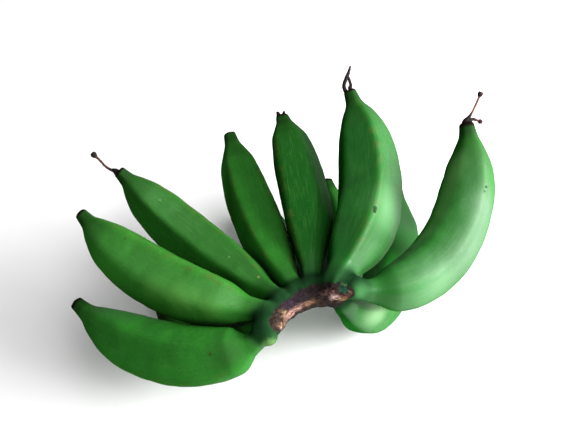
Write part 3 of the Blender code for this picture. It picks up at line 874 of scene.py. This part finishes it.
for number, (name, fruit) in enumerate(FRUITS.items()):
    points, along, across = grow(fruit)
    share = np.linspace(0.0, 1.0, len(points))
    left = np.clip((1.0 - share) * fruit["length"] / TIP_ROUNDING, 0.0, 1.0)
    radius = swelling(fruit, share) * (0.72 + 0.28 * np.sqrt(1.0 - (1.0 - left) ** 2))
    neck_size, body_size = mean_sizes(fruit)
    banana = swept(
        "banana_" + name, GROW_BANANA, points, radius, Across=tuple(TURN_ONLY @ across),
        Ridge=float(fruit["ridge"]), Half_Girth=fruit["girth"] / 2.0 * MM,
        Length=fruit["length"] * MM, Start=(STUB - LAP) / fruit["length"],
        Sharpness=float(fruit["edge"]), Neck=neck_size, Body=body_size, Lumps=0.0014,
        Seed=0.31 * number, Around=90, Along=120, Skin=SKIN)

    # Back on the growing hand, the stalk end is grown into the collar.
    skin = laid_down(vertices(banana.data), REST.inverted())
    spot = off_stalk(skin, fruit)[2]
    near = spot < GROWN[1] + 2.0
    settled = grow_together(skin[near], name)[0]
    skin[near] += (settled - skin[near]) * fade(*GROWN, spot[near])[:, None]

    # Painted shade by how deep each place lies between this fruit and its neighbours, out to where that
    # fades.
    reach, fading = (26.0, (75.0, 115.0)) if name in HIDDEN else (7.5, (40.0, 80.0))
    low = spot < 118.0
    others = np.min([off_stalk(skin[low], other)[0] for key, other in FRUITS.items() if key != name],
                    axis=0)
    narrow = fade(*CROTCH_SHADE_GAPS, others)
    wide = fade(1.0 if name in HIDDEN else 0.8, reach, others)
    crotch = np.zeros(len(skin))
    crotch[low] = narrow + (wide - narrow) * smooth_step(STUB, STUB + 14.0, spot[low])
    crotch *= fade(*fading, spot)

    # The shine of the side towards the window, and less of it on dull or covered fruits.
    shine = sunny_side(banana.data)
    shine *= 1.0 - (1.0 - fruit["gloss"]) * smooth_step(STUB, STUB + 22.0, spot)
    if name in HIDDEN:
        shine *= 1.0 - 0.8 * smooth_step(STUB, STUB + 10.0, spot)
    if name == "back_1":
        shine *= 1.0 - 0.85 * smooth_step(45.0, 80.0, spot)
    tip_distance = np.empty(len(skin), np.float32)
    banana.data.attributes["tip"].data.foreach_get("value", tip_distance)
    note(banana.data, crotch=crotch, shine=shine, collar=fade(*COLLAR, off_crown(skin)),
         web=fade(STUB, STUB + 12.0, fruit["length"] - tip_distance),
         tone=fruit["tone"], deep=fruit["deep"], scar=fruit["scar"])

    # The belly rests flat on the ground.
    lying = laid_down(skin)
    lying[:, 2] = np.maximum(lying[:, 2], 0.0)
    write_points(banana.data, lying)
    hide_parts("fruit_" + name)
    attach(banana, "root")


# ==== The dried flower remains ====
# What is left of the flower at four tips: thin, shrivelled, reddish to black stems with a small
# knob, one of them forked and one with a side spur, and a short broken stub.

def stem_tree():
    """Wraps a thin wrinkled tube around a line."""
    tree, given = new_geometry_tree("dry_stem", Wrinkles="Float", Seed="Float", Around="Int",
                                    Bark="Material")
    radius = put(tree, "GeometryNodeInputRadius")
    line = store(given["Line"], "thick", radius)
    ring = put(tree, "GeometryNodeCurvePrimitiveCircle", {"Resolution": given["Around"], "Radius": 1.0})
    tube = put(tree, "GeometryNodeCurveToMesh",
               {"Curve": line, "Profile Curve": ring, "Fill Caps": True, "Scale": radius})
    place = put(tree, "GeometryNodeInputPosition")
    drift = put(tree, "ShaderNodeCombineXYZ", {0: given["Seed"]})
    rough = cloud(vectors("ADD", place, drift), 900.0, 3.0)
    push = scaled(put(tree, "GeometryNodeInputNormal"), (rough - 0.5) * given["Wrinkles"])
    finish_tree(put(tree, "GeometryNodeSetPosition", {"Geometry": tube, "Offset": push}), given["Bark"])
    return tree


def dry_bark():
    material, tree, shader = new_material("dried_flower", 0.15)
    place = put(tree, "ShaderNodeTexCoord")["Object"]
    fine = cloud(place, 1500.0, 3.0)
    fresh = attribute(tree, "fresh") * ease(cloud(place, 260.0, 3.0), 0.3, 0.6, 0.4, 1.0)
    coat = Coat(paint(24, 17, 16))
    coat.lay(fresh, 124, 76, 66)
    knob = ease(attribute(tree, "thick"), 1.05 * MM, 1.5 * MM)
    coat.lay(knob * 0.9, 18, 12, 12)
    coat.lay(ease(fine, 0.5, 0.8, 0.0, 0.6), 14, 10, 10)
    feed(shader, {"Base Color": coat.colour, "Roughness": 0.75})
    relief_bump(tree, shader, 0.6, 0.0003, fine)
    return material


DRY_BARK = dry_bark()
DRY_STEM = stem_tree()

# Of each style how red-brown it still is, and of each of its branches the steps from the fruit's
# tip in mm on the growing hand, and pairs of the share of its length and its thickness there in mm.
STYLES = {
    "front_3": (0.3, [
        ([(-1, -1, -2), (-2.4, 0.2, 0.2), (-5.5, 1.0, 2.2), (-8.6, 2.4, 5.9), (-11.4, 4.8, 11.4),
          (-14.9, 6.9, 17.2)],
         [(0, 5.6), (0.12, 4.4), (0.26, 2.2), (0.5, 1.8), (0.8, 1.8), (0.85, 3.2), (0.93, 4.8),
          (1, 3.2)])]),
    "front_5": (0.0, [
        ([(-1.4, -2.5, -3.5), (-2.0, -0.6, -0.4), (-2.0, 0.5, 1.8), (-2.6, 1.2, 3.4)],
         [(0, 4.0), (0.5, 4.0), (0.78, 3.0), (1, 1.4)]),
        ([(1, -2.5, -3.5), (2.0, -0.6, -0.6), (2.4, 0.2, 1.0), (3.2, 0.7, 2.2)],
         [(0, 3.6), (0.5, 3.6), (0.75, 2.6), (1, 1.4)]),
        ([(0, -2.5, -3.5), (0.2, -0.8, -0.5), (0.3, -0.2, 0.9)], [(0, 6.0), (0.6, 6.0), (1, 4.4)])]),
    "front_6": (0.03, [
        ([(-1.6, -1.2, -3.5), (-2.8, 0.3, 0.6), (-3.0, 0.7, 2.6), (-1.7, 1.3, 5.6), (1.4, 3.4, 9.0),
          (4.0, 4.9, 11.8), (6.6, 6.7, 15.4)],
         [(0, 4.4), (0.12, 3.6), (0.3, 2.8), (0.6, 3.0), (0.8, 2.4), (0.93, 1.8), (1, 1.0)]),
        ([(1.0, -0.6, -3.5), (1.2, 0.6, 0.4), (2.6, 2.0, 3.2), (2.6, 3.2, 6.4), (2.2, 3.6, 9.6)],
         [(0, 4.2), (0.3, 3.4), (0.6, 2.2), (0.9, 2.4), (1, 1.6)])]),
    "front_7": (0.75, [
        ([(-0.6, -1.8, -3.0), (0.2, -0.1, 0.4), (1.6, 0.4, 2.0), (4.0, 0.5, 4.0), (7.5, 0.9, 7.5),
          (11.4, 1.2, 12.4), (15.6, 1.8, 17.8)],
         [(0, 8.4), (0.12, 7.2), (0.2, 4.4), (0.3, 2.4), (0.5, 1.6), (0.84, 1.6), (0.88, 2.8),
          (0.94, 4.0), (1, 2.6)]),
        ([(1.2, -0.6, 0.0), (4.6, 0.2, 0.8), (7.8, 0.0, -1.0), (11.0, -0.2, -3.4)],
         [(0, 4.6), (0.4, 2.2), (0.68, 1.9), (0.84, 3.6), (1, 2.4)])])}


def through(stops, count):
    """A smooth line through stops."""
    spaced = np.concatenate([[0.0], np.cumsum(np.linalg.norm(np.diff(stops, axis=0), axis=1))])
    knots = spaced / spaced[-1]
    t = np.linspace(0.0, 1.0, count)
    return np.stack([smooth_curve(np.stack([knots, stops[:, k]], 1), t) for k in range(3)], axis=1)


for number, (name, (fresh, branches)) in enumerate(STYLES.items()):
    tip = grow(FRUITS[name])[0][-1]
    made = []
    for part, (steps, thickness) in enumerate(branches):
        line = through(np.array(steps, float) + tip, 48)
        thick = smooth_curve(thickness, np.linspace(0.0, 1.0, len(line))) / 2.0
        made.append(swept("stem", DRY_STEM, line, thick, Wrinkles=0.0008, Around=14, Bark=DRY_BARK,
                          Seed=0.7 * number + 0.13 * part))
    style = made[0]
    if len(made) > 1:
        with bpy.context.temp_override(active_object=style, selected_editable_objects=made):
            bpy.ops.object.join()
    style.name = style.data.name = "dried_style_" + name
    away = np.linalg.norm(vertices(style.data) - np.array(REST @ Vector(tip)), axis=1)
    note(style.data, fresh=fresh * smooth_step(4.0 * MM, 11.0 * MM, away))
    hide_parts("style_" + name)
    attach(style, "root")


# ==== The table, the light and the camera ====
# A plain pale table, a large soft light from the right, a softer one from above and a weak one from
# the front, and a camera looking down on the crown.

floor = new_shape("table_top", [(-4, -4, 0), (4, -4, 0), (4, 4, 0), (-4, 4, 0)], [(0, 1, 2, 3)])
pale, pale_tree, pale_shader = new_material("pale_table")
shade = cloud(put(pale_tree, "ShaderNodeTexCoord")["Object"], 6.0, 2.0)
feed(pale_shader, {"Base Color": tint(shade, (0.74, 0.74, 0.74, 1.0), (0.77, 0.77, 0.77, 1.0)),
                   "Roughness": 0.7, "Emission Color": (1.0, 1.0, 1.0, 1.0),
                   "Emission Strength": 0.12})
floor.data.materials.append(pale)

world = bpy.data.worlds.new("studio")
bpy.context.scene.world = world
world.use_nodes = True
feed(world.node_tree.nodes["Background"], {"Color": (1.0, 1.0, 1.0, 1.0), "Strength": 0.1})


def soft_light(name, place, size, power, aim_at=(0.0, 0.0, 0.0)):
    light = bpy.data.lights.new(name, "AREA")
    light.shape = "RECTANGLE"
    light.size, light.size_y = size
    light.energy = power
    lamp = new_object(name, light)
    lamp.location = place
    lamp.rotation_euler = (Vector(aim_at) - Vector(place)).to_track_quat("-Z", "Y").to_euler()


soft_light("window", (0.985, -0.283, 0.57), (1.0, 0.5), 46.0, (0.03, 0.0, 0.05))
soft_light("ceiling", (0.55, -0.3, 1.35), (1.0, 1.0), 14.0)
soft_light("front", (0.08, -0.85, 1.15), (0.8, 0.8), 6.5)

lens = bpy.data.cameras.new("camera")
lens.sensor_width = 36.0
lens.lens = 56.45
camera = new_object("camera", lens)
camera.location = (-0.0375, -0.4298, 0.5691)
camera.rotation_euler = (math.radians(41.83), math.radians(2.5), math.radians(-8.71))
bpy.context.scene.camera = camera
bpy.context.scene.view_settings.view_transform = "Standard"
